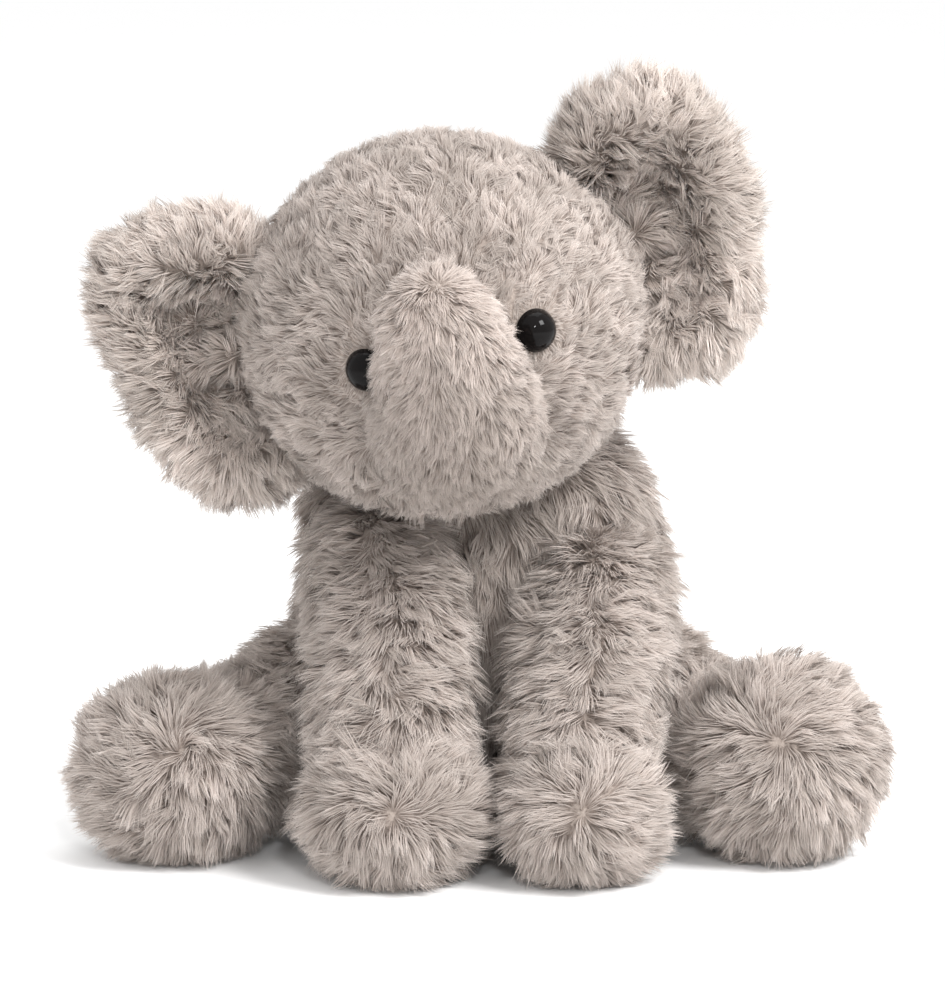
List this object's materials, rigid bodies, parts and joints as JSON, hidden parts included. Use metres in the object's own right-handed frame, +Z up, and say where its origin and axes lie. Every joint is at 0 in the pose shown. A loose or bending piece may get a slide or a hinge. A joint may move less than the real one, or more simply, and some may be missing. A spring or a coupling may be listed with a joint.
{
  "type": "stuffed elephant",
  "caption": "Sitting stuffed elephant with long warm grey fur, a tilted round head, raised trunk, big ears and splayed hind legs; head, ears, trunk, legs and tail turn at their seams.",
  "frame": {"origin": "on the floor, in the flat seat under the torso, midway between the hind feet", "axes": "+Z up, -Y the way the elephant faces, +X towards its own left side"},
  "size_m": [0.252, 0.213, 0.2337],
  "materials": {
    "body_fur": "matte",
    "head_fur": "matte",
    "trunk_fur": "matte",
    "ear_fur": "matte",
    "foot_fur": "matte",
    "stuffing": "matte",
    "pouch_cloth": "matte",
    "thread": "matte",
    "label_ribbon": "satin",
    "eye_plastic": "gloss",
    "washer_plastic": "matte"
  },
  "bodies": {
    "torso": {"torso_cover": "body_fur", "torso_stuffing": "stuffing", "pellet_pouch": "pouch_cloth", "closing_stitches": "thread", "care_label": "label_ribbon"},
    "neck_ring": {"neck_collar": "head_fur"},
    "neck": {"neck_stuffing": "stuffing"},
    "head": {"head_gusset": "head_fur", "head_side_left": "head_fur", "head_side_right": "head_fur", "head_stuffing": "stuffing", "eye_left": "eye_plastic", "eye_right": "eye_plastic", "eye_washer_left": "washer_plastic", "eye_washer_right": "washer_plastic"},
    "trunk": {"trunk_cover": "trunk_fur", "trunk_stuffing": "stuffing"},
    "ear_right": {"ear_right_front_panel": "ear_fur", "ear_right_back_panel": "ear_fur", "ear_right_wadding": "stuffing"},
    "ear_left": {"ear_left_front_panel": "ear_fur", "ear_left_back_panel": "ear_fur", "ear_left_wadding": "stuffing"},
    "front_right_leg": {"front_right_leg_cover": "body_fur", "front_right_sole": "foot_fur", "front_right_leg_stuffing": "stuffing"},
    "front_left_leg": {"front_left_leg_cover": "body_fur", "front_left_sole": "foot_fur", "front_left_leg_stuffing": "stuffing"},
    "hind_right_leg": {"hind_right_leg_cover": "body_fur", "hind_right_sole": "foot_fur", "hind_right_leg_stuffing": "stuffing"},
    "hind_left_leg": {"hind_left_leg_cover": "body_fur", "hind_left_sole": "foot_fur", "hind_left_leg_stuffing": "stuffing"},
    "tail": {"tail_cover": "body_fur", "tail_tuft": "body_fur"}
  },
  "joints": [
    {"name": "head_turn", "type": "hinge", "parent": "torso", "child": "neck_ring", "pos_m": [-0.007, -0.008, 0.112], "axis": [0, 0, 1], "range_deg": [-25, 25]},
    {"name": "head_nod", "type": "hinge", "parent": "neck_ring", "child": "neck", "pos_m": [-0.007, -0.008, 0.112], "axis": [1, 0, 0], "range_deg": [-8, 10]},
    {"name": "head_tilt", "type": "hinge", "parent": "neck", "child": "head", "pos_m": [-0.007, -0.008, 0.112], "axis": [0, 1, 0], "range_deg": [-8, 8]},
    {"name": "trunk_bend", "type": "hinge", "parent": "head", "child": "trunk", "pos_m": [-0.007, -0.06, 0.143], "axis": [0.9744, 0, 0.225], "range_deg": [-4, 24]},
    {"name": "ear_right_flap", "type": "hinge", "parent": "head", "child": "ear_right", "pos_m": [-0.07416, -0.014, 0.1618], "axis": [-0.225, 0, 0.9744], "range_deg": [-22, 22]},
    {"name": "ear_left_flap", "type": "hinge", "parent": "head", "child": "ear_left", "pos_m": [0.04666, -0.014, 0.18969], "axis": [-0.225, 0, 0.9744], "range_deg": [-22, 22]},
    {"name": "front_right_leg_swing", "type": "hinge", "parent": "torso", "child": "front_right_leg", "pos_m": [-0.037, -0.014, 0.079], "axis": [-1, 0, 0], "range_deg": [-3, 40]},
    {"name": "front_left_leg_swing", "type": "hinge", "parent": "torso", "child": "front_left_leg", "pos_m": [0.038, -0.014, 0.078], "axis": [-1, 0, 0], "range_deg": [-3, 40]},
    {"name": "hind_right_leg_splay", "type": "hinge", "parent": "torso", "child": "hind_right_leg", "pos_m": [-0.048, 0.01, 0.034], "axis": [0, 0, -1], "range_deg": [-4, 32]},
    {"name": "hind_left_leg_splay", "type": "hinge", "parent": "torso", "child": "hind_left_leg", "pos_m": [0.048, 0.01, 0.034], "axis": [0, 0, 1], "range_deg": [-4, 32]},
    {"name": "tail_swing", "type": "hinge", "parent": "torso", "child": "tail", "pos_m": [0.002, 0.0736, 0.042], "axis": [0, 0, 1], "range_deg": [-30, 30]}
  ]
}
